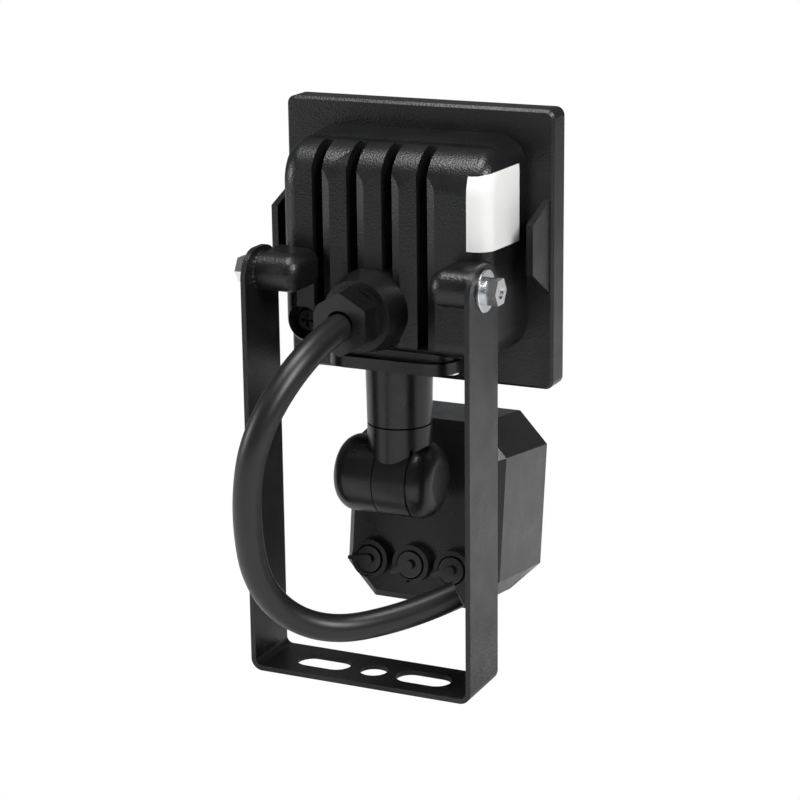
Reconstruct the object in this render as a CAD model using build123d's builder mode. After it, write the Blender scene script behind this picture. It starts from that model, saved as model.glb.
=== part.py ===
"""Motion sensor floodlight: finned lamp housing on a folded bracket, with a swivelling motion sensor under it.

Millimetres. +Z up, the lamp shines along -Y, and the origin is on the underside of the bracket's base.
"""

import math
import os

from build123d import *

os.makedirs("parts", exist_ok=True)

# Bracket, one folded strip
bracket_width = 70.0
sheet = 1.5
arm_width = 20.0
pivot_height = 118.0
arm_above_pivot = 7.0
arm_corner = 8.0
bend_inside = 2.0
slot_pitch = 32.0
slot_centres = 8.0
slot_width = 9.0
centre_hole = 8.5
pivot_play = 0.1

# Pivot screws and their washers
screw_d = 4.0
screw_reach = 12.0
screw_flats = 7.0
screw_head = 3.2
screw_dish = 0.5
washer_d = 12.0
washer_t = 1.0
spring_washer_d = 7.6
spring_washer_t = 0.9
spring_washer_gap = 0.8
tooth_washer_d = 11.4
tooth_washer_t = 0.6
tooth_count = 24
tooth_depth = 0.6
washer_bore_play = 0.15

# Lamp housing, one casting
frame_width = 84.0
frame_height = 81.0
frame_centre = 4.3
frame_corner = 2.5
frame_depth = 9.0
frame_back = -34.0
frame_edge = 0.8
body_width = 68.0
body_height = 62.8
body_centre = 6.0
body_corner = 9.0
body_depth = 24.5
body_taper = 4.6
body_top_round = 12.0
body_edge_round = 5.0
groove_width = 3.3
groove_pitch = 10.85
groove_count = 4
groove_depth = 10.5
groove_offset = 4.4
groove_bottom = -21.5
crown_depth = 1.0
crown_share = 0.34
boss_d = 11.0
boss_inner = 20.0
boss_nose = 4.0
gland_boss_base_d = 24.0
gland_boss_length = 8.5
gland_boss_taper = 11.0
gland_drop = 11.2
counterbore_d = 10.0
counterbore_depth = 6.5
counterbore_x = 26.0
counterbore_z = -17.0
service_screw_d = 4.0
service_screw_head_d = 7.4
service_screw_head = 2.6
guard_reach = 13.0
guard_base_top = 19.5
guard_rear_top = 14.5
guard_rear_bottom = 0.3
guard_base_bottom = -7.5
guard_thickness = 2.0
guard_inset = 1.0
pad_width = 38.0
pad_length = 17.0
pad_corner = 6.0

# Light unit in the front of the housing
rim = 4.0
glass_t = 3.0
glass_play = 0.4
gasket_t = 0.8
cavity_width = 60.0
cavity_height = 56.0
cavity_depth = 13.0
board_size = 50.0
board_t = 1.6
led_size = 3.0
led_t = 0.7
led_rows = 4
led_pitch = 9.0
reflector_t = 0.8
reflector_play = 0.5
reflector_mouth = 46.0
reflector_corner = 8.0
board_screw_d = 2.9
board_screw_pitch = 36.0
board_screw_head_d = 5.4
board_screw_head = 1.8
board_screw_length = 6.0

# Cable gland and cable
gland_thread_d = 12.0
gland_collar_d = 17.0
gland_collar_t = 2.0
gland_stub_d = 13.0
gland_stub_length = 5.0
gland_nut_flats = 16.0
gland_nut_length = 8.7
gland_nut_wall = 2.2
gland_play = 0.1
cable_d = 8.0

# Sensor arm
neck_y = -20.0
flange_width = 40.0
flange_length = 21.0
flange_corner = 8.0
flange_t = 3.4
neck_d = 19.6
neck_length = 17.6
neck_edge = 0.5
neck_taper_d = 19.0
spigot_d = 12.0
spigot_length = 10.0
spigot_play = 0.05
wire_bore = 5.0
flange_screw_pitch = 32.0
flange_screw_d = 3.0
flange_screw_head_d = 5.6
flange_screw_head = 1.6
flange_screw_length = 7.0
knuckle_drop = 63.2
knuckle_d = 23.0
knuckle_left = 18.4
knuckle_seam = 4.0
knuckle_cap_seam = -6.9
knuckle_right = -12.8
knuckle_dome = 5.8
collar_gap = 0.5
seam_gap = 0.3
knuckle_screw_d = 5.0
knuckle_screw_head_d = 8.5
knuckle_screw_head = 3.0
knuckle_screw_reach = 12.0

# Motion sensor
sensor_tilt = 8.0
sensor_width = 50.0
sensor_height = 56.5
sensor_chamfer = 9.5
sensor_drop = 13.2
sensor_standoff = 18.0
shell_depth = 23.5
cover_depth = 15.5
shell_wall = 1.8
shell_bevel = 2.2
cover_bevel = 3.6
link_width = 13.0
link_height = 17.0
lens_width = 38.0
lens_height = 36.0
lens_offset = 2.0
lens_wall = 1.2
lens_bulge = 5.0
lens_lip = 1.6
lens_play = 0.3
knob_pitch = 13.6
knob_shift = 2.1
knob_drop = 16.1
dial_collar_d = 11.8
dial_collar_bore = 9.0
dial_collar_height = 3.2
dial_notch = 2.0
knob_d = 8.0
knob_height = 3.4
knob_lever_reach = 6.4
knob_lever_root = 3.0
knob_lever_tip = 1.0
knob_lever_t = 1.2
knob_turns = (0.0, 28.0, 18.0)
knob_stem_d = 4.0
knob_play = 0.05
knob_float = 0.3
sensor_board_t = 1.6
sensor_board_play = 1.0
pot_size = 5.6
eye_d = 9.2
eye_height = 4.5
relay_width = 12.0
relay_height = 18.0
relay_depth = 7.0

# Places that follow from the sizes
arm_inner = bracket_width / 2 - sheet
body_back = frame_back + body_depth
boss_end = arm_inner - tooth_washer_t
gland_face = body_back + gland_boss_length
gland_z = pivot_height - gland_drop
frame_front = frame_back - frame_depth
flange_top = pivot_height + body_centre - body_height / 2
flange_bottom = flange_top - flange_t
neck_bottom = flange_bottom - neck_length
knuckle_z = pivot_height - knuckle_drop
recess_floor = frame_front + glass_t + gasket_t
cavity_floor = recess_floor + cavity_depth
tilt = math.radians(sensor_tilt)


def save(piece, name):
    """Labels a finished piece and writes its file."""
    piece.part.label = name
    export_step(piece.part, f"parts/{name}.step")


def behind(y):
    """A plane across the lamp at this y, seen from behind, with its origin on the pivot line."""
    return Plane(origin=(0, y, pivot_height), x_dir=(-1, 0, 0), z_dir=(0, 1, 0))


def across(x, outward=1):
    """A plane square to the pivot line at this x, facing outward along it, centred on it."""
    return Plane(origin=(x, 0, pivot_height), x_dir=(0, outward, 0), z_dir=(outward, 0, 0))


def sensor_plane(depth):
    """A plane parallel to the sensor's back, this far in front of it, centred on the sensor."""
    back = (0, math.cos(tilt), math.sin(tilt))
    up = (0, -math.sin(tilt), math.cos(tilt))
    reach = -sensor_standoff - depth
    centre_y = neck_y + reach * back[1] - sensor_drop * up[1]
    centre_z = knuckle_z + reach * back[2] - sensor_drop * up[2]
    return Plane(origin=(0, centre_y, centre_z), x_dir=(-1, 0, 0), z_dir=back)


def octagon(inset=0.0):
    """The sensor's outline, a rectangle with its corners cut off, drawn this far inside its edge."""
    half_w = sensor_width / 2 - inset
    half_h = sensor_height / 2 - inset
    cut = sensor_chamfer - inset * (2 - math.sqrt(2))
    corners = [
        (half_w, half_h - cut),
        (half_w - cut, half_h),
        (cut - half_w, half_h),
        (-half_w, half_h - cut),
        (-half_w, cut - half_h),
        (cut - half_w, -half_h),
        (half_w - cut, -half_h),
        (half_w, cut - half_h),
    ]
    Polygon(*corners, align=None)


# Bracket
with BuildPart() as bracket:
    with BuildSketch(Plane.XZ):
        with Locations((0, (pivot_height + arm_above_pivot) / 2)):
            Rectangle(bracket_width, pivot_height + arm_above_pivot)
        with Locations((0, sheet)):
            from_the_web = (Align.CENTER, Align.MIN)
            Rectangle(2 * arm_inner, pivot_height + 2 * arm_above_pivot, align=from_the_web, mode=Mode.SUBTRACT)
    extrude(amount=arm_width / 2, both=True)
    along = bracket.edges().filter_by(Axis.Y)
    fillet(along.group_by(Axis.Z)[0], radius=bend_inside + sheet)
    inner = bracket.edges().filter_by(Axis.Y).filter_by(lambda e: abs(e.center().Z - sheet) < 0.01)
    fillet(inner.filter_by(lambda e: abs(abs(e.center().X) - arm_inner) < 0.01), radius=bend_inside)
    fillet(bracket.edges().filter_by(Axis.X).group_by(Axis.Z)[-1], radius=arm_corner)
    with BuildSketch(Plane.XY.offset(sheet)):
        with GridLocations(slot_pitch, 0, 2, 1):
            SlotCenterToCenter(slot_centres, slot_width)
        Circle(centre_hole / 2)
    extrude(amount=-sheet, mode=Mode.SUBTRACT)
    with BuildSketch(across(0)):
        Circle(screw_d / 2 + pivot_play)
    extrude(amount=bracket_width, both=True, mode=Mode.SUBTRACT)
save(bracket, "bracket")

# Lamp housing
with BuildPart() as housing:
    with BuildSketch(behind(frame_back)):
        with Locations((0, frame_centre)):
            RectangleRounded(frame_width, frame_height, frame_corner)
    extrude(amount=-frame_depth)
    chamfer(housing.faces().sort_by(Axis.Y)[-1].edges(), length=frame_edge)
    chamfer(housing.faces().sort_by(Axis.Y)[0].edges(), length=frame_edge)
    with BuildSketch(behind(frame_back)):
        with Locations((0, body_centre)):
            RectangleRounded(body_width, body_height, body_corner)
    extrude(amount=body_depth, taper=body_taper)
    round_y = body_back - body_top_round
    round_z = body_centre + body_height / 2 - body_depth * math.tan(math.radians(body_taper)) - body_top_round
    with BuildSketch(across(0)):
        with Locations((round_y, round_z)):
            Rectangle(2 * body_top_round, 2 * body_top_round, align=(Align.MIN, Align.MIN))
            Circle(body_top_round, mode=Mode.SUBTRACT)
    extrude(amount=body_width, both=True, mode=Mode.SUBTRACT)
    rear_edges = housing.faces().sort_by(Axis.Y)[-1].edges()
    fillet(rear_edges.filter_by(lambda e: e.center().Z < pivot_height + round_z - 0.1), radius=body_edge_round)

    # pad under the body, where the sensor arm seats
    with BuildSketch(Plane.XY.offset(flange_top)):
        with Locations((0, neck_y)):
            RectangleRounded(pad_width, pad_length, pad_corner)
    extrude(amount=body_edge_round + gland_drop)

    # pivot bosses
    with BuildSketch(across(boss_inner), across(-boss_inner, -1)):
        Circle(boss_d / 2)
    extrude(amount=boss_end - boss_inner)
    with BuildSketch(across(boss_inner)):
        with Locations((body_back - 1, 0)):
            Rectangle(-body_back + 1, boss_d, align=(Align.MIN, Align.CENTER))
    extrude(amount=boss_end - boss_inner)
    with BuildSketch(across(-boss_inner, -1)):
        with Locations((1 - body_back, 0)):
            Rectangle(-body_back + 1, boss_d, align=(Align.MAX, Align.CENTER))
    extrude(amount=boss_end - boss_inner)
    nose = housing.edges().filter_by(lambda e: abs(abs(e.center().X) - boss_inner) < 0.01)
    fillet(nose.filter_by(lambda e: e.center().Y > body_back + 0.1), radius=boss_nose)

    # grooves between the ribs, with a low crown left on each rib
    with BuildSketch(Plane.XY.offset(pivot_height + groove_bottom)):
        rib = groove_pitch - groove_width
        with Locations((groove_offset, body_back)):
            with GridLocations(groove_pitch, 0, groove_count, 1):
                mouth = [
                    (-groove_width / 2 - rib * crown_share, 0.5),
                    (-groove_width / 2 - rib * crown_share, 0),
                    (-groove_width / 2, -crown_depth),
                    (-groove_width / 2, -groove_depth),
                    (groove_width / 2, -groove_depth),
                    (groove_width / 2, -crown_depth),
                    (groove_width / 2 + rib * (1 - crown_share), 0),
                    (groove_width / 2 + rib * (1 - crown_share), 0.5),
                ]
                Polygon(*mouth, align=None)
    extrude(amount=body_height, mode=Mode.SUBTRACT)

    # gland boss, across the two middle grooves
    with BuildSketch(behind(body_back - groove_depth)):
        with Locations((-groove_offset, -gland_drop)):
            Circle(gland_boss_base_d / 2)
    extrude(amount=groove_depth)
    with BuildSketch(behind(body_back)):
        with Locations((-groove_offset, -gland_drop)):
            Circle(gland_boss_base_d / 2)
    extrude(amount=gland_boss_length, taper=gland_boss_taper)

    # guards at the sides of the front frame
    for side in (1, -1):
        with BuildSketch(Plane.YZ.offset(side * (frame_width / 2 - guard_inset))):
            outline = [
                (frame_back - 1, pivot_height + guard_base_top),
                (frame_back, pivot_height + guard_base_top),
                (frame_back + guard_reach, pivot_height + guard_rear_top),
                (frame_back + guard_reach, pivot_height + guard_rear_bottom),
                (frame_back, pivot_height + guard_base_bottom),
                (frame_back - 1, pivot_height + guard_base_bottom),
            ]
            Polygon(*outline, align=None)
        extrude(amount=-side * guard_thickness)

    # holes for the pivot screws, the gland, the service screw and the arm's screws
    with BuildSketch(across(boss_end, -1), across(-boss_end)):
        Circle(screw_d / 2)
    extrude(amount=screw_reach, mode=Mode.SUBTRACT)
    with BuildSketch(behind(gland_face)):
        with Locations((-groove_offset, -gland_drop)):
            Circle(gland_thread_d / 2)
    extrude(amount=cavity_floor - gland_face, mode=Mode.SUBTRACT)
    with BuildSketch(behind(body_back - counterbore_depth)):
        with Locations((-counterbore_x, counterbore_z)):
            Circle(counterbore_d / 2)
    extrude(amount=2 * counterbore_depth, mode=Mode.SUBTRACT)
    with BuildSketch(behind(body_back - counterbore_depth)):
        with Locations((-counterbore_x, counterbore_z)):
            Circle(service_screw_d / 2)
    extrude(amount=-service_screw_head * 3, mode=Mode.SUBTRACT)
    with BuildSketch(Plane.XY.offset(flange_top)):
        with Locations((0, neck_y)):
            with GridLocations(flange_screw_pitch, 0, 2, 1):
                Circle(flange_screw_d / 2)
            Circle(wire_bore / 2)
    extrude(amount=flange_screw_length - flange_t, mode=Mode.SUBTRACT)

    # glass recess and light cavity, open at the front
    with BuildSketch(behind(frame_front)):
        with Locations((0, frame_centre)):
            RectangleRounded(frame_width - 2 * rim, frame_height - 2 * rim, frame_corner)
    extrude(amount=recess_floor - frame_front, mode=Mode.SUBTRACT)
    with BuildSketch(behind(recess_floor)):
        with Locations((0, body_centre)):
            RectangleRounded(cavity_width, cavity_height, body_corner)
    extrude(amount=cavity_depth, mode=Mode.SUBTRACT)
    with BuildSketch(behind(cavity_floor)):
        with Locations((0, body_centre)):
            with GridLocations(board_screw_pitch, 0, 2, 1):
                Circle(board_screw_d / 2)
    extrude(amount=board_screw_length, mode=Mode.SUBTRACT)
save(housing, "lamp_housing")

# Light unit: gasket and glass in the recess, reflector over the LED board on the cavity's floor
with BuildPart() as glass_gasket:
    with BuildSketch(behind(recess_floor)):
        with Locations((0, frame_centre)):
            RectangleRounded(frame_width - 2 * rim - glass_play, frame_height - 2 * rim - glass_play, frame_corner)
        with Locations((0, body_centre)):
            RectangleRounded(cavity_width, cavity_height, body_corner, mode=Mode.SUBTRACT)
    extrude(amount=-gasket_t)
save(glass_gasket, "glass_gasket")

with BuildPart() as front_glass:
    with BuildSketch(behind(recess_floor - gasket_t)):
        with Locations((0, frame_centre)):
            RectangleRounded(frame_width - 2 * rim - glass_play, frame_height - 2 * rim - glass_play, frame_corner)
    extrude(amount=-glass_t)
save(front_glass, "front_glass")

with BuildPart() as led_board:
    with BuildSketch(behind(cavity_floor)):
        with Locations((0, body_centre)):
            RectangleRounded(board_size, board_size, frame_corner)
            with GridLocations(board_screw_pitch, 0, 2, 1):
                Circle(board_screw_d / 2, mode=Mode.SUBTRACT)
    extrude(amount=-board_t)
    with BuildSketch(behind(cavity_floor - board_t)):
        with Locations((0, body_centre)):
            with GridLocations(led_pitch, led_pitch, led_rows - 1, led_rows):
                Rectangle(led_size, led_size)
    extrude(amount=-led_t)
save(led_board, "led_board")

with BuildPart() as reflector:
    for inset, mode in ((0.0, Mode.ADD), (reflector_t, Mode.SUBTRACT)):
        with BuildSketch(behind(recess_floor + reflector_play)):
            with Locations((0, body_centre)):
                wide = cavity_width - 4 * reflector_play - 2 * inset
                high = cavity_height - 4 * reflector_play - 2 * inset
                RectangleRounded(wide, high, reflector_corner - inset)
        with BuildSketch(behind(cavity_floor - board_t - led_t)):
            with Locations((0, body_centre)):
                RectangleRounded(reflector_mouth - 2 * inset, reflector_mouth - 2 * inset, 2 * reflector_t - inset)
        loft(mode=mode)
save(reflector, "reflector")

for side, name in ((1, "board_screw_left"), (-1, "board_screw_right")):
    with BuildPart() as board_screw:
        with BuildSketch(behind(cavity_floor - board_t)):
            with Locations((side * board_screw_pitch / 2, body_centre)):
                Circle(board_screw_head_d / 2)
        extrude(amount=-board_screw_head)
        with BuildSketch(behind(cavity_floor - board_t)):
            with Locations((side * board_screw_pitch / 2, body_centre)):
                Circle(board_screw_d / 2)
        extrude(amount=board_screw_length)
    save(board_screw, name)

with BuildPart() as service_screw:
    with BuildSketch(behind(body_back - counterbore_depth)):
        with Locations((-counterbore_x, counterbore_z)):
            Circle(service_screw_head_d / 2)
    extrude(amount=service_screw_head)
    fillet(service_screw.faces().sort_by(Axis.Y)[-1].edges(), radius=service_screw_head * 0.4)
    with BuildSketch(behind(body_back - counterbore_depth)):
        with Locations((-counterbore_x, counterbore_z)):
            Circle(service_screw_d / 2)
    extrude(amount=-service_screw_head * 2.5)
    with BuildSketch(behind(body_back - counterbore_depth + service_screw_head)):
        with Locations((-counterbore_x, counterbore_z)):
            Rectangle(service_screw_head_d * 0.55, 0.9)
            Rectangle(0.9, service_screw_head_d * 0.55)
    extrude(amount=-service_screw_head * 0.5, mode=Mode.SUBTRACT)
save(service_screw, "service_screw")

# Pivot screws and washers, one stack at each arm
for side, word in ((1, "left"), (-1, "right")):
    outer = side * bracket_width / 2
    with BuildPart() as toothed_washer:
        with BuildSketch(across(side * boss_end, side)):
            Circle(tooth_washer_d / 2)
            Circle(screw_d / 2 + washer_bore_play, mode=Mode.SUBTRACT)
            with PolarLocations(tooth_washer_d / 2, tooth_count):
                Rectangle(2 * tooth_depth, tooth_depth * 0.7, mode=Mode.SUBTRACT)
        extrude(amount=tooth_washer_t)
    save(toothed_washer, f"toothed_washer_{word}")

    with BuildPart() as flat_washer:
        with BuildSketch(across(outer, side)):
            Circle(washer_d / 2)
            Circle(screw_d / 2 + washer_bore_play, mode=Mode.SUBTRACT)
        extrude(amount=washer_t)
        chamfer(flat_washer.edges().filter_by(GeomType.CIRCLE).group_by(SortBy.LENGTH)[-1], length=0.15)
    save(flat_washer, f"flat_washer_{word}")

    with BuildPart() as spring_washer:
        with BuildSketch(across(outer + side * washer_t, side)):
            Circle(spring_washer_d / 2)
            Circle(screw_d / 2 + washer_bore_play, mode=Mode.SUBTRACT)
            with Locations((0, spring_washer_d / 2)):
                Rectangle(spring_washer_gap, spring_washer_d, mode=Mode.SUBTRACT)
        extrude(amount=spring_washer_t)
    save(spring_washer, f"spring_washer_{word}")

    with BuildPart() as pivot_screw:
        head_base = outer + side * (washer_t + spring_washer_t)
        with BuildSketch(across(head_base, side)):
            RegularPolygon(screw_flats / 2, 6, major_radius=False)
        extrude(amount=screw_head)
        with BuildSketch(across(head_base, side)):
            Circle(screw_flats / math.sqrt(3))
        extrude(amount=screw_head, mode=Mode.INTERSECT)
        with BuildSketch(across(head_base + side * screw_head, side)):
            Circle(screw_flats * 0.27)
        extrude(amount=-screw_dish, mode=Mode.SUBTRACT)
        with BuildSketch(across(head_base, side)):
            Circle(screw_d / 2)
        extrude(amount=boss_end + 1 - screw_reach - abs(head_base))
    save(pivot_screw, f"pivot_screw_{word}")

# Cable gland: body through the boss, seal, cap nut, and the cable that hangs from it
gland = (-groove_offset, -gland_drop)
with BuildPart() as gland_body:
    with BuildSketch(behind(gland_face)):
        with Locations(gland):
            Circle(gland_collar_d / 2)
    extrude(amount=gland_collar_t)
    with BuildSketch(behind(gland_face)):
        with Locations(gland):
            Circle(gland_thread_d / 2 - gland_play)
    extrude(amount=-gland_thread_d)
    with BuildSketch(behind(gland_face + gland_collar_t)):
        with Locations(gland):
            Circle(gland_stub_d / 2 - gland_play)
    extrude(amount=gland_stub_length)
    with BuildSketch(behind(gland_face - gland_thread_d)):
        with Locations(gland):
            Circle(cable_d / 2 + gland_play)
    extrude(amount=gland_thread_d + gland_collar_t + gland_stub_length, mode=Mode.SUBTRACT)
save(gland_body, "gland_body")

seal_base = gland_face + gland_collar_t + gland_stub_length
with BuildPart() as gland_seal:
    with BuildSketch(behind(seal_base)):
        with Locations(gland):
            Circle(gland_stub_d / 2 - gland_play)
            Circle(cable_d / 2 + gland_play, mode=Mode.SUBTRACT)
    extrude(amount=gland_collar_t + gland_nut_length - gland_nut_wall - gland_collar_t - gland_stub_length)
save(gland_seal, "gland_seal")

with BuildPart() as gland_nut:
    with BuildSketch(behind(gland_face + gland_collar_t)):
        with Locations(gland):
            RegularPolygon(gland_nut_flats / 2, 6, major_radius=False, rotation=30)
    extrude(amount=gland_nut_length)
    with BuildSketch(behind(gland_face + gland_collar_t)):
        with Locations(gland):
            Circle(gland_nut_flats / math.sqrt(3) - 0.2)
    extrude(amount=gland_nut_length, mode=Mode.INTERSECT)
    with BuildSketch(behind(gland_face + gland_collar_t)):
        with Locations(gland):
            Circle(gland_stub_d / 2)
    extrude(amount=gland_nut_length - gland_nut_wall, mode=Mode.SUBTRACT)
    with BuildSketch(behind(gland_face + gland_collar_t + gland_nut_length)):
        with Locations(gland):
            Circle(cable_d / 2 + gland_play)
    extrude(amount=-gland_nut_length, mode=Mode.SUBTRACT)
    rim_edges = gland_nut.edges().group_by(Axis.Y)[-1].filter_by(GeomType.CIRCLE).sort_by(SortBy.LENGTH)
    chamfer(rim_edges[0], length=0.6)
save(gland_nut, "gland_nut")

cable_route = [
    (groove_offset, gland_face - 3.0, gland_z),
    (groove_offset, 21.5, gland_z),
    (12.9, 43.4, 86.1),
    (17.5, 43.7, 62.3),
    (19.8, 32.5, 32.9),
    (6.2, 20.9, 19.2),
    (-14.8, 5.9, 22.5),
    (-26.5, -1.0, 28.6),
]
cable_radii = []
for before, at, after in zip(cable_route, cable_route[1:], cable_route[2:]):
    arriving = Vector(*at) - Vector(*before)
    leaving = Vector(*after) - Vector(*at)
    half_turn = math.radians(arriving.get_angle(leaving)) / 2
    cable_radii.append(0.45 * min(arriving.length, leaving.length) / math.tan(half_turn))
with BuildPart() as power_cable:
    with BuildLine() as cable_path:
        FilletPolyline(*cable_route, radius=cable_radii)
    with BuildSketch(Plane(origin=cable_route[0], z_dir=(0, 1, 0))):
        Circle(cable_d / 2)
    sweep(path=cable_path.line)
save(power_cable, "power_cable")
cable_length = sum(edge.length for edge in cable_path.edges())
cable_area = math.pi * cable_d**2 / 4
print("cable radii", [round(r, 1) for r in cable_radii], "length", round(cable_length, 1))
print("cable volume", round(power_cable.part.volume), "section times length", round(cable_area * cable_length))

# Sensor arm, upper half: a flange under the housing with a round neck
with BuildPart() as sensor_mount:
    with BuildSketch(Plane.XY.offset(flange_bottom)):
        with Locations((0, neck_y)):
            RectangleRounded(flange_width, flange_length, flange_corner)
            with GridLocations(flange_screw_pitch, 0, 2, 1):
                Circle(flange_screw_d / 2, mode=Mode.SUBTRACT)
    extrude(amount=flange_t)
    with BuildSketch(Plane.XY.offset(neck_bottom)):
        with Locations((0, neck_y)):
            Circle(neck_taper_d / 2)
    with BuildSketch(Plane.XY.offset(flange_bottom)):
        with Locations((0, neck_y)):
            Circle(neck_d / 2)
    loft()
    chamfer(sensor_mount.edges().group_by(Axis.Z)[0], length=neck_edge)
    with BuildSketch(Plane.XY.offset(neck_bottom)):
        with Locations((0, neck_y)):
            Circle(spigot_d / 2 + spigot_play)
    extrude(amount=spigot_length + 1, mode=Mode.SUBTRACT)
    with BuildSketch(Plane.XY.offset(flange_top)):
        with Locations((0, neck_y)):
            Circle(wire_bore / 2)
    extrude(amount=-flange_t - neck_length, mode=Mode.SUBTRACT)
save(sensor_mount, "sensor_mount")

for side, name in ((1, "mount_screw_left"), (-1, "mount_screw_right")):
    with BuildPart() as mount_screw:
        with BuildSketch(Plane.XY.offset(flange_bottom)):
            with Locations((side * flange_screw_pitch / 2, neck_y)):
                Circle(flange_screw_head_d / 2)
        extrude(amount=-flange_screw_head)
        fillet(mount_screw.edges().group_by(Axis.Z)[0], radius=flange_screw_head * 0.4)
        with BuildSketch(Plane.XY.offset(flange_bottom)):
            with Locations((side * flange_screw_pitch / 2, neck_y)):
                Circle(flange_screw_d / 2)
        extrude(amount=flange_screw_length)
    save(mount_screw, name)

# Sensor arm, lower half: spigot, collar and the right part of the knuckle
knuckle_r = knuckle_d / 2
with BuildPart() as lower_arm:
    with BuildSketch(Plane(origin=(knuckle_right, neck_y, knuckle_z), x_dir=(0, 1, 0), z_dir=(1, 0, 0))):
        Circle(knuckle_r)
    extrude(amount=knuckle_seam - knuckle_right)
    fillet(lower_arm.edges().group_by(Axis.X)[0], radius=knuckle_dome)
    with BuildSketch(Plane.XY.offset(neck_bottom)):
        with Locations((0, neck_y)):
            Circle(neck_taper_d / 2)
    extrude(amount=knuckle_z - neck_bottom)
    left_clear = Plane(origin=(knuckle_seam, neck_y, knuckle_z), x_dir=(0, 1, 0), z_dir=(1, 0, 0))
    with BuildSketch(left_clear):
        Circle(knuckle_r + collar_gap)
        with Locations((0, -knuckle_r)):
            Rectangle(2 * (knuckle_r + collar_gap), 2 * knuckle_r, mode=Mode.ADD)
    extrude(amount=knuckle_left, mode=Mode.SUBTRACT)
    with BuildSketch(Plane.XY.offset(neck_bottom)):
        with Locations((0, neck_y)):
            Circle(spigot_d / 2)
    extrude(amount=spigot_length)
    with BuildSketch(Plane.XY.offset(neck_bottom + spigot_length)):
        with Locations((0, neck_y)):
            Circle(wire_bore / 2)
    extrude(amount=knuckle_z + knuckle_r - 2 - neck_bottom - spigot_length, mode=Mode.SUBTRACT)
    with BuildSketch(Plane(origin=(knuckle_cap_seam, neck_y, knuckle_z), x_dir=(0, 1, 0), z_dir=(1, 0, 0))):
        Circle(knuckle_r + 1)
        Circle(knuckle_r - 0.5, mode=Mode.SUBTRACT)
    extrude(amount=0.6, mode=Mode.SUBTRACT)
    with BuildSketch(left_clear):
        Circle(knuckle_screw_d / 2 + spigot_play)
    extrude(amount=-knuckle_screw_reach, mode=Mode.SUBTRACT)
save(lower_arm, "lower_arm")

# Sensor: rear shell with the link and the left part of the knuckle
left_half = Plane(origin=(knuckle_seam + seam_gap, neck_y, knuckle_z), x_dir=(0, 1, 0), z_dir=(1, 0, 0))
link_x = (knuckle_seam + seam_gap + knuckle_left) / 2
with BuildPart() as sensor_shell:
    with BuildSketch(sensor_plane(0)):
        octagon(shell_bevel)
    with BuildSketch(sensor_plane(shell_bevel)):
        octagon()
    loft()
    with BuildSketch(sensor_plane(shell_bevel)):
        octagon()
    extrude(amount=shell_bevel - shell_depth)
    with BuildSketch(sensor_plane(shell_depth)):
        octagon(shell_wall)
    extrude(amount=shell_depth - shell_bevel, mode=Mode.SUBTRACT)
    with BuildSketch(left_half):
        Circle(knuckle_r)
    extrude(amount=knuckle_left - knuckle_seam - seam_gap)
    fillet(sensor_shell.edges().filter_by(GeomType.CIRCLE).group_by(Axis.X)[-1], radius=knuckle_dome)
    with BuildSketch(sensor_plane(0)):
        with Locations((-link_x, sensor_drop)):
            RectangleRounded(link_width, link_height, 2.0)
    extrude(amount=sensor_standoff)
    with BuildSketch(left_half):
        Circle(knuckle_screw_d / 2 + seam_gap)
    extrude(amount=knuckle_left, mode=Mode.SUBTRACT)
    with BuildSketch(left_half.offset(knuckle_left - knuckle_seam - knuckle_screw_head - 1)):
        Circle(knuckle_screw_head_d / 2 + seam_gap)
    extrude(amount=knuckle_left, mode=Mode.SUBTRACT)
    with BuildSketch(sensor_plane(0)):
        with Locations((-knob_shift, -knob_drop)):
            with GridLocations(knob_pitch, 0, 3, 1):
                Circle(dial_collar_d / 2)
    extrude(amount=dial_collar_height)
    with BuildSketch(sensor_plane(-dial_collar_height)):
        with Locations((-knob_shift, -knob_drop)):
            with GridLocations(knob_pitch, 0, 3, 1):
                Circle(dial_collar_bore / 2)
                with Locations((0, -dial_collar_d / 2)):
                    Rectangle(dial_notch, dial_notch)
    extrude(amount=-dial_collar_height, mode=Mode.SUBTRACT)
    with BuildSketch(sensor_plane(0)):
        with Locations((-knob_shift, -knob_drop)):
            with GridLocations(knob_pitch, 0, 3, 1):
                Circle(knob_stem_d / 2 + knob_play)
    extrude(amount=-shell_bevel - shell_wall, mode=Mode.SUBTRACT)
save(sensor_shell, "sensor_shell")

with BuildPart() as knuckle_screw:
    head_base = left_half.offset(knuckle_left - knuckle_seam - knuckle_screw_head - 1)
    with BuildSketch(head_base):
        Circle(knuckle_screw_head_d / 2)
    extrude(amount=knuckle_screw_head)
    fillet(knuckle_screw.edges().group_by(Axis.X)[-1], radius=knuckle_screw_head * 0.3)
    with BuildSketch(head_base):
        Circle(knuckle_screw_d / 2)
    extrude(amount=-(knuckle_left - knuckle_seam - knuckle_screw_head - 1 + knuckle_screw_reach - 1))
    with BuildSketch(head_base.offset(knuckle_screw_head)):
        Rectangle(knuckle_screw_head_d * 0.55, 1.0)
        Rectangle(1.0, knuckle_screw_head_d * 0.55)
    extrude(amount=-knuckle_screw_head * 0.5, mode=Mode.SUBTRACT)
save(knuckle_screw, "knuckle_screw")

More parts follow.
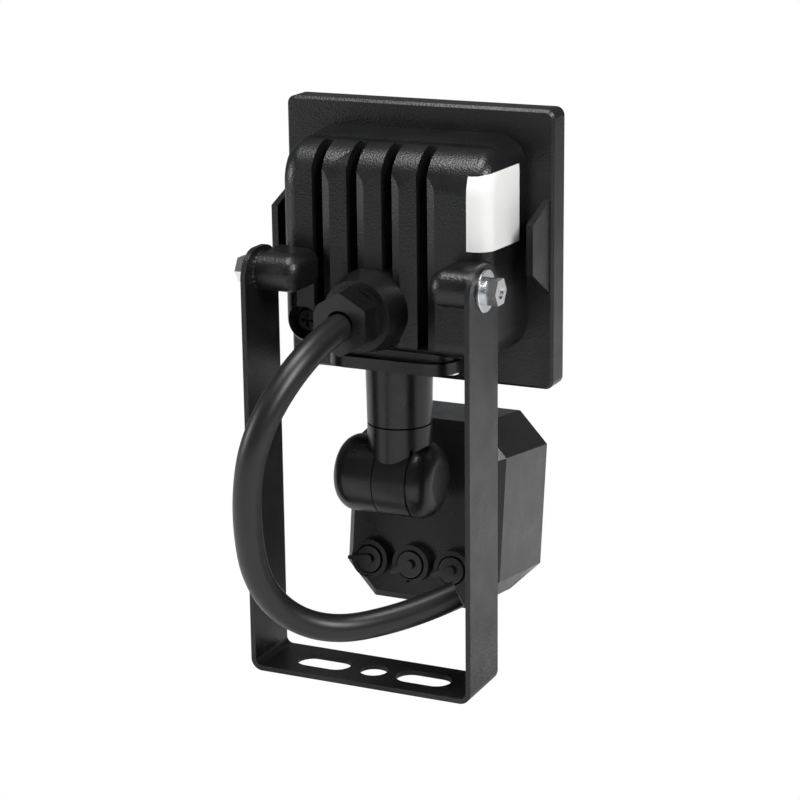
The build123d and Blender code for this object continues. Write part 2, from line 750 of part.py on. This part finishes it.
# Sensor: front cover, lens, board and what it carries
with BuildPart() as sensor_cover:
    with BuildSketch(sensor_plane(shell_depth)):
        octagon()
    extrude(amount=cover_bevel - cover_depth)
    with BuildSketch(sensor_plane(shell_depth + cover_depth - cover_bevel)):
        octagon()
    with BuildSketch(sensor_plane(shell_depth + cover_depth)):
        octagon(cover_bevel)
    loft()
    with BuildSketch(sensor_plane(shell_depth)):
        octagon(shell_wall)
    extrude(amount=cover_bevel - cover_depth, mode=Mode.SUBTRACT)
    with BuildSketch(sensor_plane(shell_depth)):
        with Locations((0, lens_offset)):
            RectangleRounded(lens_width, lens_height, shell_bevel)
    extrude(amount=-cover_depth, mode=Mode.SUBTRACT)
save(sensor_cover, "sensor_cover")

lens_back = shell_depth + cover_depth - cover_bevel
with BuildPart() as fresnel_lens:
    with BuildSketch(sensor_plane(lens_back)):
        with Locations((0, lens_offset)):
            lip = 2 * lens_lip
            RectangleRounded(lens_width + lip, lens_height + lip, shell_bevel)
    extrude(amount=lens_wall)
    with BuildSketch(sensor_plane(lens_back)):
        with Locations((0, lens_offset)):
            RectangleRounded(lens_width - 2 * lens_play, lens_height - 2 * lens_play, shell_bevel)
    extrude(amount=-cover_bevel)
    with BuildSketch(sensor_plane(lens_back + cover_bevel)):
        with Locations((0, lens_offset)):
            RectangleRounded(lens_width - 2 * lens_play, lens_height - 2 * lens_play, shell_bevel)
    with BuildSketch(sensor_plane(lens_back + cover_bevel + lens_bulge)):
        with Locations((0, lens_offset)):
            RectangleRounded(lens_width * 0.62, lens_height * 0.72, shell_bevel)
    loft()
    with BuildSketch(sensor_plane(lens_back - lens_wall)):
        with Locations((0, lens_offset)):
            hollow = 2 * (lens_play + lens_wall)
            RectangleRounded(lens_width - hollow, lens_height - hollow, shell_bevel - lens_wall)
    extrude(amount=-cover_bevel - lens_wall, mode=Mode.SUBTRACT)
    with BuildSketch(sensor_plane(lens_back + cover_bevel)):
        with Locations((0, lens_offset)):
            RectangleRounded(lens_width - hollow, lens_height - hollow, shell_bevel - lens_wall)
    with BuildSketch(sensor_plane(lens_back + cover_bevel + lens_bulge - lens_wall)):
        with Locations((0, lens_offset)):
            crown_width = lens_width * 0.62 - hollow / 2
            crown_height = lens_height * 0.72 - hollow / 2
            RectangleRounded(crown_width, crown_height, shell_bevel - lens_wall)
    loft(mode=Mode.SUBTRACT)
save(fresnel_lens, "fresnel_lens")

board_depth = shell_depth - sensor_board_t
with BuildPart() as sensor_board:
    with BuildSketch(sensor_plane(board_depth)):
        octagon(shell_wall + sensor_board_play)
    extrude(amount=-sensor_board_t)
save(sensor_board, "sensor_board")

with BuildPart() as motion_eye:
    with BuildSketch(sensor_plane(shell_depth)):
        with Locations((0, lens_offset)):
            Circle(eye_d / 2)
    extrude(amount=-eye_height)
save(motion_eye, "motion_eye")

with BuildPart() as relay:
    with BuildSketch(sensor_plane(board_depth)):
        with Locations((-sensor_width / 5, sensor_height / 5)):
            Rectangle(relay_width, relay_height)
    extrude(amount=relay_depth)
save(relay, "relay")

# Setting knobs, each with its potentiometer on the board
for count, word in enumerate(("time", "light", "range")):
    turn = knob_turns[count]
    knob_x = -knob_shift - knob_pitch + count * knob_pitch
    knob_at = (knob_x, -knob_drop)
    stem_end = board_depth - pot_size + knob_float
    with BuildPart() as pot:
        with BuildSketch(sensor_plane(board_depth)):
            with Locations(knob_at):
                Rectangle(pot_size, pot_size)
        extrude(amount=pot_size)
        with BuildSketch(sensor_plane(board_depth - pot_size)):
            with Locations(knob_at):
                Circle(knob_stem_d / 2 + knob_play)
        extrude(amount=-pot_size / 2, mode=Mode.SUBTRACT)
    save(pot, f"{word}_pot")

    with BuildPart() as knob:
        with BuildSketch(sensor_plane(-knob_float)):
            with Locations(knob_at):
                Circle(knob_d / 2)
        extrude(amount=knob_height)
        with BuildSketch(sensor_plane(-knob_float - knob_height)):
            with Locations(knob_at):
                Circle(knob_lever_root / 2)
                lever = [
                    (0, knob_lever_root / 2),
                    (-knob_lever_reach, knob_lever_tip / 2),
                    (-knob_lever_reach, -knob_lever_tip / 2),
                    (0, -knob_lever_root / 2),
                ]
                Polygon(*lever, rotation=turn, align=None)
        extrude(amount=knob_lever_t)
        with BuildSketch(sensor_plane(-knob_float)):
            with Locations(knob_at):
                Circle(knob_stem_d / 2)
        extrude(amount=-knob_float - board_depth + pot_size / 2 + knob_float)
    save(knob, f"{word}_knob")
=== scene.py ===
"""Looks of the motion sensor floodlight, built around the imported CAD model.

Lengths are in metres in the row frame: +Z up, the lamp shines along -Y, and the origin is under the bracket.
"""

import logging
import math
from dataclasses import dataclass, field
from enum import Enum

import bpy
from mathutils import Matrix, Vector


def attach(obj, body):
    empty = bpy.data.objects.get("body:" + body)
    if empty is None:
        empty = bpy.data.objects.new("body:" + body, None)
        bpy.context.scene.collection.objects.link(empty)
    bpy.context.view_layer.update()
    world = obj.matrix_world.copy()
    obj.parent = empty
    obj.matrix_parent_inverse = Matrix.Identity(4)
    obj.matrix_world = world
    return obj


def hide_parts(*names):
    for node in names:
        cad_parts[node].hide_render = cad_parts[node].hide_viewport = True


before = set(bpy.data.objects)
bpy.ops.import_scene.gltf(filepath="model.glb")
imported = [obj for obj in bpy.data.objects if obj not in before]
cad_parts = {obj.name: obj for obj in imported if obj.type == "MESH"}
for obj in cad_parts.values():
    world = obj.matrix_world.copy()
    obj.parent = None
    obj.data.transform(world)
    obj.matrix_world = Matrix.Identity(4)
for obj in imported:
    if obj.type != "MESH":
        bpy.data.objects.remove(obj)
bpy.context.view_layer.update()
LOG = logging.getLogger("floodlight")

CLOUD_SHARE = 0.06
CLOUD_DETAIL = 4.0
CLOUD_RANGE = (0.3, 0.7)
LEAST_ROUGHNESS = 0.02
RELIEF_DEPTH = 0.0002
BRUSH_STRETCH = (0.08, 1.0, 1.0)
FACET_JOINT = 0.02
FACET_JOINT_SOFTNESS = 0.6
GLASS_IOR = 1.5
WHITE = (1.0, 1.0, 1.0, 1.0)


class Texture(Enum):
    """How a finish breaks up the light."""

    POWDER = "powder"
    MOULDED = "moulded"
    RUBBER = "rubber"
    BRUSHED = "brushed"
    SMOOTH = "smooth"
    FACETS = "facets"


@dataclass(frozen=True)
class Finish:
    """One paint, plastic or metal finish."""

    name: str
    colour: tuple[float, float, float]
    roughness: float
    texture: Texture
    metallic: float = 0.0
    grain: float = 1500.0
    relief: float = 0.1
    specular: float = 0.5
    mottle: float = 0.15

    def material(self) -> bpy.types.Material:
        """Makes the finish's node material.

        Returns:
            The new material, with its grain in object coordinates.
        """
        made = bpy.data.materials.new(self.name)
        made.use_nodes = True
        tree = made.node_tree
        shader = tree.nodes["Principled BSDF"]
        shader.inputs["Metallic"].default_value = self.metallic
        shader.inputs["Specular IOR Level"].default_value = self.specular
        shader.inputs["Roughness"].default_value = self.roughness
        shader.inputs["Base Color"].default_value = (*self.colour, 1.0)
        place = tree.nodes.new("ShaderNodeTexCoord")
        stretch = tree.nodes.new("ShaderNodeMapping")
        tree.links.new(place.outputs["Object"], stretch.inputs["Vector"])
        if self.texture is Texture.BRUSHED:
            stretch.inputs["Scale"].default_value = BRUSH_STRETCH
        cloud = tree.nodes.new("ShaderNodeTexNoise")
        cloud.inputs["Scale"].default_value = self.grain * CLOUD_SHARE
        cloud.inputs["Detail"].default_value = CLOUD_DETAIL
        tree.links.new(stretch.outputs["Vector"], cloud.inputs["Vector"])
        self._spread_roughness(tree, cloud.outputs["Fac"], shader.inputs["Roughness"])
        grain = self._grain(tree, stretch)
        if grain is not None:
            bump = tree.nodes.new("ShaderNodeBump")
            bump.inputs["Strength"].default_value = self.relief
            bump.inputs["Distance"].default_value = RELIEF_DEPTH
            tree.links.new(grain, bump.inputs["Height"])
            tree.links.new(bump.outputs["Normal"], shader.inputs["Normal"])
        return made

    def _grain(self, tree: bpy.types.NodeTree, stretch: bpy.types.Node) -> bpy.types.NodeSocket | None:
        """Adds the fine relief.

        Args:
            tree: The material's node tree.
            stretch: The mapping node that the grain follows.

        Returns:
            The socket with the relief's height, or None for a smooth finish.
        """
        if self.texture is Texture.SMOOTH:
            return None
        if self.texture is Texture.FACETS:
            stretch.inputs["Rotation"].default_value = (math.pi / 2, 0.0, 0.0)
            cells = tree.nodes.new("ShaderNodeTexBrick")
            cells.inputs["Scale"].default_value = self.grain
            cells.inputs["Mortar Size"].default_value = FACET_JOINT
            cells.inputs["Mortar Smooth"].default_value = FACET_JOINT_SOFTNESS
            tree.links.new(stretch.outputs["Vector"], cells.inputs["Vector"])
            return cells.outputs["Fac"]
        kind = "ShaderNodeTexVoronoi" if self.texture is Texture.POWDER else "ShaderNodeTexNoise"
        node = tree.nodes.new(kind)
        node.inputs["Scale"].default_value = self.grain
        tree.links.new(stretch.outputs["Vector"], node.inputs["Vector"])
        return node.outputs["Distance" if self.texture is Texture.POWDER else "Fac"]

    def _spread_roughness(self, tree: bpy.types.NodeTree, source: bpy.types.NodeSocket,
                          target: bpy.types.NodeSocket) -> None:
        """Varies the roughness softly around its middle.

        Args:
            tree: The material's node tree.
            source: The cloud that drives it.
            target: The shader socket that takes it.
        """
        span = tree.nodes.new("ShaderNodeMapRange")
        span.inputs["From Min"].default_value = CLOUD_RANGE[0]
        span.inputs["From Max"].default_value = CLOUD_RANGE[1]
        span.inputs["To Min"].default_value = max(LEAST_ROUGHNESS, self.roughness * (1 - self.mottle))
        span.inputs["To Max"].default_value = min(1.0, self.roughness * (1 + self.mottle))
        tree.links.new(source, span.inputs["Value"])
        tree.links.new(span.outputs["Result"], target)


@dataclass(frozen=True)
class Glass:
    """Clear or smoked glass."""

    name: str
    colour: tuple[float, float, float]
    roughness: float = 0.02
    density: float = 1.0

    def material(self) -> bpy.types.Material:
        """Makes a transmissive material.

        Returns:
            The new material.
        """
        made = bpy.data.materials.new(self.name)
        made.use_nodes = True
        shader = made.node_tree.nodes["Principled BSDF"]
        shader.inputs["Base Color"].default_value = (*self.colour, 1.0)
        shader.inputs["Roughness"].default_value = self.roughness
        shader.inputs["Transmission Weight"].default_value = self.density
        shader.inputs["IOR"].default_value = GLASS_IOR
        return made


POWDER_COAT = Finish(
    "powder_coat", (0.0052, 0.0053, 0.0057), 0.36, Texture.POWDER, grain=1900.0, relief=0.3,
    specular=0.38,
)
CASTING_COAT = Finish(
    "casting_coat", (0.0048, 0.0049, 0.0053), 0.34, Texture.POWDER, grain=1700.0, relief=0.32,
    specular=0.4,
)
MOULDED_BLACK = Finish(
    "moulded_black", (0.0056, 0.0056, 0.006), 0.3, Texture.MOULDED, grain=2600.0, relief=0.14,
    specular=0.4,
)
NYLON_BLACK = Finish(
    "nylon_black", (0.005, 0.005, 0.0053), 0.24, Texture.MOULDED, grain=1800.0, relief=0.08,
    specular=0.45,
)
CABLE_BLACK = Finish(
    "cable_black", (0.0065, 0.0065, 0.0068), 0.4, Texture.RUBBER, grain=900.0, relief=0.06,
    specular=0.4,
)
SEAL_RUBBER = Finish(
    "seal_rubber", (0.0075, 0.0075, 0.0075), 0.6, Texture.RUBBER, grain=900.0, relief=0.1,
    specular=0.35,
)
ZINC = Finish(
    "zinc", (0.62, 0.63, 0.65), 0.24, Texture.BRUSHED, metallic=1.0, grain=1200.0, relief=0.06,
)
DARK_ZINC = Finish(
    "dark_zinc", (0.2, 0.2, 0.21), 0.34, Texture.BRUSHED, metallic=1.0, grain=1200.0,
    relief=0.08,
)
STAINLESS = Finish(
    "stainless", (0.66, 0.66, 0.67), 0.2, Texture.BRUSHED, metallic=1.0, grain=1400.0,
    relief=0.05,
)
BLACK_OXIDE = Finish(
    "black_oxide", (0.03, 0.03, 0.033), 0.3, Texture.BRUSHED, metallic=0.8, grain=1400.0,
    relief=0.05,
)
REFLECTOR = Finish(
    "reflector_sheet", (0.86, 0.87, 0.88), 0.14, Texture.BRUSHED, metallic=1.0, grain=700.0,
    relief=0.05,
)
WHITE_MASK = Finish("white_mask", (0.78, 0.78, 0.74), 0.4, Texture.MOULDED, grain=800.0, relief=0.04)
LABEL_PAPER = Finish(
    "label_paper", (0.66, 0.66, 0.65), 0.42, Texture.MOULDED, grain=1500.0, relief=0.03,
    mottle=0.08,
)
GREEN_MASK = Finish("green_mask", (0.02, 0.16, 0.06), 0.3, Texture.SMOOTH)
PART_BLUE = Finish("part_blue", (0.03, 0.07, 0.25), 0.35, Texture.SMOOTH)
CLEAR_GLASS = Glass("clear_glass", (0.93, 0.96, 0.96))
SMOKED_LENS = Finish("smoked_lens", (0.014, 0.014, 0.016), 0.2, Texture.FACETS, grain=70.0, relief=0.6)


@dataclass
class CadLooks:
    """Puts finishes on the CAD nodes whose shape stays."""

    finishes: dict[str, Finish | Glass] = field(default_factory=lambda: {
        "bracket": POWDER_COAT,
        "lamp_housing": CASTING_COAT,
        "front_glass": CLEAR_GLASS,
        "glass_gasket": SEAL_RUBBER,
        "gland_seal": SEAL_RUBBER,
        "reflector": REFLECTOR,
        "led_board": WHITE_MASK,
        "gland_body": NYLON_BLACK,
        "gland_nut": NYLON_BLACK,
        "sensor_mount": MOULDED_BLACK,
        "lower_arm": MOULDED_BLACK,
        "sensor_shell": MOULDED_BLACK,
        "sensor_cover": MOULDED_BLACK,
        "fresnel_lens": SMOKED_LENS,
        "sensor_board": GREEN_MASK,
        "relay": PART_BLUE,
        "time_pot": PART_BLUE,
        "light_pot": PART_BLUE,
        "range_pot": PART_BLUE,
        "motion_eye": STAINLESS,
        "time_knob": NYLON_BLACK,
        "light_knob": NYLON_BLACK,
        "range_knob": NYLON_BLACK,
        "service_screw": BLACK_OXIDE,
        "toothed_washer_left": DARK_ZINC,
        "toothed_washer_right": DARK_ZINC,
        "knuckle_screw": STAINLESS,
        "pivot_screw_left": STAINLESS,
        "pivot_screw_right": STAINLESS,
        "mount_screw_left": STAINLESS,
        "mount_screw_right": STAINLESS,
    })
    other: Finish = ZINC

    def apply(self) -> int:
        """Assigns a finish to every CAD node.

        Returns:
            How many nodes got one.
        """
        made: dict[str, bpy.types.Material] = {}
        for name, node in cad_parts.items():
            finish = self.finishes.get(name, self.other)
            if finish.name not in made:
                made[finish.name] = finish.material()
            node.data.materials.clear()
            node.data.materials.append(made[finish.name])
        return len(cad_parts)


@dataclass
class PowerCable:
    """The rubber cable that hangs from the gland."""

    diameter: float = 0.008
    length: float = 0.171
    rings: int = 8
    steps: int = 24
    route: tuple[tuple[float, float, float], ...] = (
        (0.0044, -0.004, 0.1068),
        (0.0044, 0.0215, 0.1068),
        (0.0129, 0.0434, 0.0861),
        (0.0175, 0.0437, 0.0623),
        (0.0198, 0.0325, 0.0329),
        (0.0062, 0.0209, 0.0192),
        (-0.0148, 0.0059, 0.0225),
        (-0.0265, -0.001, 0.0286),
    )

    def build(self) -> bpy.types.Object:
        """Returns:
            The cable's curve object.
        """
        curve = bpy.data.curves.new("power_cable_sheath", "CURVE")
        curve.dimensions = "3D"
        curve.bevel_depth = self.diameter / 2
        curve.bevel_resolution = self.rings
        curve.resolution_u = self.steps
        curve.use_fill_caps = True
        spline = curve.splines.new("NURBS")
        spline.points.add(len(self.route) - 1)
        for point, place in zip(spline.points, self.route):
            point.co = (*place, 1.0)
        spline.order_u = 3
        spline.use_endpoint_u = True
        sheath = bpy.data.objects.new("power_cable_sheath", curve)
        bpy.context.scene.collection.objects.link(sheath)
        curve.materials.append(CABLE_BLACK.material())
        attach(sheath, "head")
        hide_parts("power_cable")
        return sheath


@dataclass
class BlankLabel:
    """The plain sticker round the lamp body's rear edge, with nothing printed on it."""

    rear_start: float = 0.0258
    edge_centre: tuple[float, float] = (-0.027, -0.0145)
    edge_radius: float = 0.005
    side_run: float = 0.0145
    bottom: float = 0.1262
    top: float = 0.148
    lift: float = 0.0003
    gap: float = 0.00006
    thickness: float = 0.00012
    smooth_below: float = 40.0
    columns: int = 56
    rows: int = 40

    @property
    def length(self) -> float:
        """The sticker's length round the edge."""
        return self._rear_run + self._arc + self.side_run

    @property
    def _rear_run(self) -> float:
        """Its flat length on the rear face."""
        return -self.edge_centre[0] - self.rear_start

    @property
    def _arc(self) -> float:
        """Its length round the rounded edge."""
        return self.edge_radius * math.pi / 2

    def _at(self, way: float) -> tuple[float, float]:
        """Follows the body's outline just outside it.

        Args:
            way: The distance from the sticker's end on the rear face.

        Returns:
            The place seen from above.
        """
        centre_x, centre_y = self.edge_centre
        out = self.edge_radius + self.lift
        if way < self._rear_run:
            return -self.rear_start - way, centre_y + out
        if way < self._rear_run + self._arc:
            angle = (way - self._rear_run) / self.edge_radius
            return centre_x - out * math.sin(angle), centre_y + out * math.cos(angle)
        return centre_x - out, centre_y - (way - self._rear_run - self._arc)

    def build(self) -> bpy.types.Object:
        """Wraps a fine grid onto the housing and gives it a sheet's thickness.

        Returns:
            The label's mesh object.
        """
        bpy.ops.object.select_all(action="DESELECT")
        bpy.ops.mesh.primitive_grid_add(x_subdivisions=self.columns, y_subdivisions=self.rows, size=1.0)
        sticker = bpy.context.object
        sticker.name = "blank_label"
        for vertex in sticker.data.vertices:
            across, along = self._at((vertex.co.x + 0.5) * self.length)
            vertex.co = (across, along, self.bottom + (vertex.co.y + 0.5) * (self.top - self.bottom))
        wrap = sticker.modifiers.new("wrap", "SHRINKWRAP")
        wrap.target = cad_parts["lamp_housing"]
        wrap.wrap_method = "NEAREST_SURFACEPOINT"
        wrap.wrap_mode = "OUTSIDE_SURFACE"
        wrap.offset = self.gap
        bpy.ops.object.modifier_apply(modifier=wrap.name)
        sheet = sticker.modifiers.new("sheet", "SOLIDIFY")
        sheet.thickness = self.thickness
        sheet.offset = 0.0
        bpy.ops.object.modifier_apply(modifier=sheet.name)
        bpy.ops.object.mode_set(mode="EDIT")
        bpy.ops.mesh.select_all(action="SELECT")
        bpy.ops.mesh.normals_make_consistent(inside=False)
        bpy.ops.object.mode_set(mode="OBJECT")
        bpy.ops.object.shade_smooth_by_angle(angle=math.radians(self.smooth_below))
        sticker.data.materials.append(LABEL_PAPER.material())
        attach(sticker, "head")
        return sticker


@dataclass
class Studio:
    """White floor, backdrop, lights and the camera at the photo's angle."""

    camera_place: tuple[float, float, float] = (-0.2834, 0.5875, 0.2661)
    camera_turn: tuple[float, float, float] = (25.0, 15.665, -0.651)
    lens: float = 107.9
    film_width: float = 36.0
    surround: tuple[float, float, float, float] = (0.9, 0.92, 0.95, 1.0)
    surround_strength: float = 0.16
    floor_size: float = 3.0
    floor_drop: float = 0.0004
    lit_point: tuple[float, float, float] = (0.0, 0.0, 0.09)

    def build(self) -> None:
        """Makes everything around the object."""
        self._camera()
        self._world()
        self._floor()
        self._light("key", (-0.6, 0.3, 0.62), 0.28, 7.0)
        self._light("fill", (0.75, 0.4, 0.3), 0.35, 3.5)
        self._light("top", (0.1, 0.1, 0.9), 0.4, 6.0)

    def _camera(self) -> None:
        """Makes the camera."""
        data = bpy.data.cameras.new("camera")
        data.lens = self.lens
        data.sensor_width = self.film_width
        camera = bpy.data.objects.new("camera", data)
        bpy.context.scene.collection.objects.link(camera)
        azimuth, pitch, roll = (math.radians(angle) for angle in self.camera_turn)
        level_right = Vector((-math.cos(azimuth), -math.sin(azimuth), 0.0))
        level_ahead = Vector((math.sin(azimuth), -math.cos(azimuth), 0.0))
        ahead = math.cos(pitch) * level_ahead - math.sin(pitch) * Vector((0, 0, 1))
        lifted = math.sin(pitch) * level_ahead + math.cos(pitch) * Vector((0, 0, 1))
        right = math.cos(roll) * level_right + math.sin(roll) * lifted
        above = -math.sin(roll) * level_right + math.cos(roll) * lifted
        turn = Matrix((right, above, -ahead)).transposed()
        camera.matrix_world = Matrix.Translation(self.camera_place) @ turn.to_4x4()
        bpy.context.scene.camera = camera

    def _world(self) -> None:
        """Makes the white surroundings."""
        world = bpy.data.worlds.new("white")
        world.use_nodes = True
        tree = world.node_tree
        back = tree.nodes["Background"]
        back.inputs["Color"].default_value = self.surround
        back.inputs["Strength"].default_value = self.surround_strength
        white = tree.nodes.new("ShaderNodeBackground")
        white.inputs["Color"].default_value = WHITE
        path = tree.nodes.new("ShaderNodeLightPath")
        mix = tree.nodes.new("ShaderNodeMixShader")
        tree.links.new(path.outputs["Is Camera Ray"], mix.inputs["Fac"])
        tree.links.new(back.outputs["Background"], mix.inputs[1])
        tree.links.new(white.outputs["Background"], mix.inputs[2])
        tree.links.new(mix.outputs["Shader"], tree.nodes["World Output"].inputs["Surface"])
        bpy.context.scene.world = world
        bpy.context.scene.view_settings.view_transform = "Standard"

    def _floor(self) -> None:
        """Makes the white floor, which the camera sees as plain white."""
        bpy.ops.mesh.primitive_plane_add(size=self.floor_size, location=(0.0, 0.0, -self.floor_drop))
        floor = bpy.context.object
        floor.name = "floor"
        made = bpy.data.materials.new("floor_white")
        made.use_nodes = True
        tree = made.node_tree
        shader = tree.nodes["Principled BSDF"]
        shader.inputs["Base Color"].default_value = (0.8, 0.8, 0.8, 1.0)
        shader.inputs["Roughness"].default_value = 0.9
        glow = tree.nodes.new("ShaderNodeEmission")
        glow.inputs["Color"].default_value = WHITE
        path = tree.nodes.new("ShaderNodeLightPath")
        mix = tree.nodes.new("ShaderNodeMixShader")
        tree.links.new(path.outputs["Is Camera Ray"], mix.inputs["Fac"])
        tree.links.new(shader.outputs["BSDF"], mix.inputs[1])
        tree.links.new(glow.outputs["Emission"], mix.inputs[2])
        tree.links.new(mix.outputs["Shader"], tree.nodes["Material Output"].inputs["Surface"])
        floor.data.materials.append(made)

    def _light(self, name: str, place: tuple[float, float, float], size: float, power: float) -> None:
        """Adds a soft box aimed at the lamp.

        Args:
            name: The light's name.
            place: Where it hangs.
            size: Its edge length.
            power: Its power in watts.
        """
        data = bpy.data.lights.new(name, "AREA")
        data.shape = "SQUARE"
        data.size = size
        data.energy = power
        lamp = bpy.data.objects.new(name, data)
        bpy.context.scene.collection.objects.link(lamp)
        lamp.location = place
        aim = Vector(self.lit_point) - Vector(place)
        lamp.rotation_euler = aim.to_track_quat("-Z", "Y").to_euler()


def main() -> None:
    """Builds the scene and reports each part."""
    logging.basicConfig(level=logging.INFO, format="%(message)s")
    LOG.info("finishes on %d nodes", CadLooks().apply())
    LOG.info("cable %s", PowerCable().build().name)
    LOG.info("label %s", BlankLabel().build().name)
    Studio().build()


if __name__ == "__main__":
    main()
